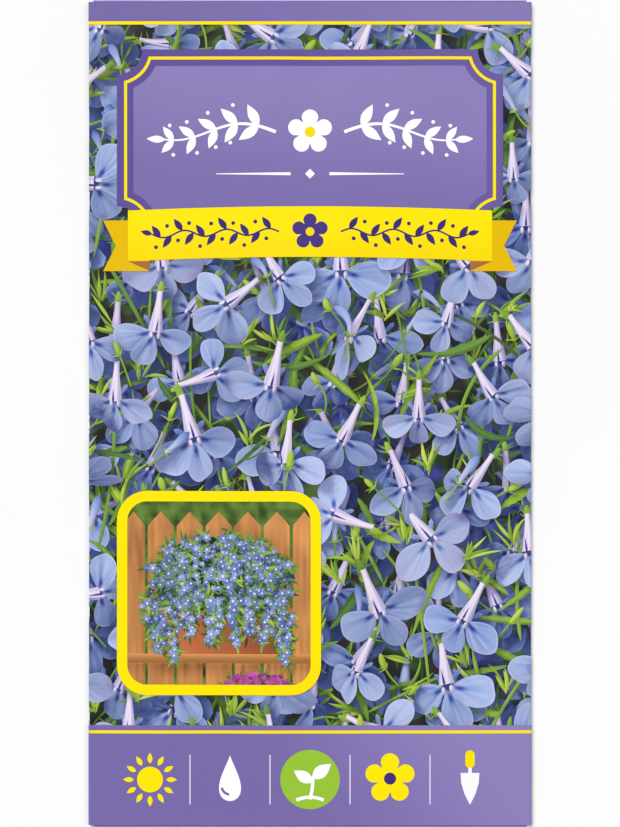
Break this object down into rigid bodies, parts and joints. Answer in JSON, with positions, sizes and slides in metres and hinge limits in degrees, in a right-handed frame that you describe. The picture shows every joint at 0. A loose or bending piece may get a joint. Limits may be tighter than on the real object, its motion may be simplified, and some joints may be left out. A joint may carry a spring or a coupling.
{
  "type": "seed packet",
  "caption": "Flat paper seed packet, glued shut, printed with blue trailing flowers in front, with a small sealed sachet of fine seed inside.",
  "frame": {"origin": "middle of the plane that the packet lies on, under the middle of its outline", "axes": "+X to the right across the printed front, +Y up the front towards the top flap, +Z out of the printed front, away from the table"},
  "size_m": [0.08, 0.15, 0.0027],
  "materials": {
    "coated_paper": "satin",
    "sachet_film": "satin",
    "seed": "matte"
  },
  "bodies": {
    "root": {"paper_envelope": "coated_paper", "sachet_back_film": "sachet_film", "sachet_front_film": "sachet_film", "seed_pinch": "seed"}
  },
  "joints": []
}
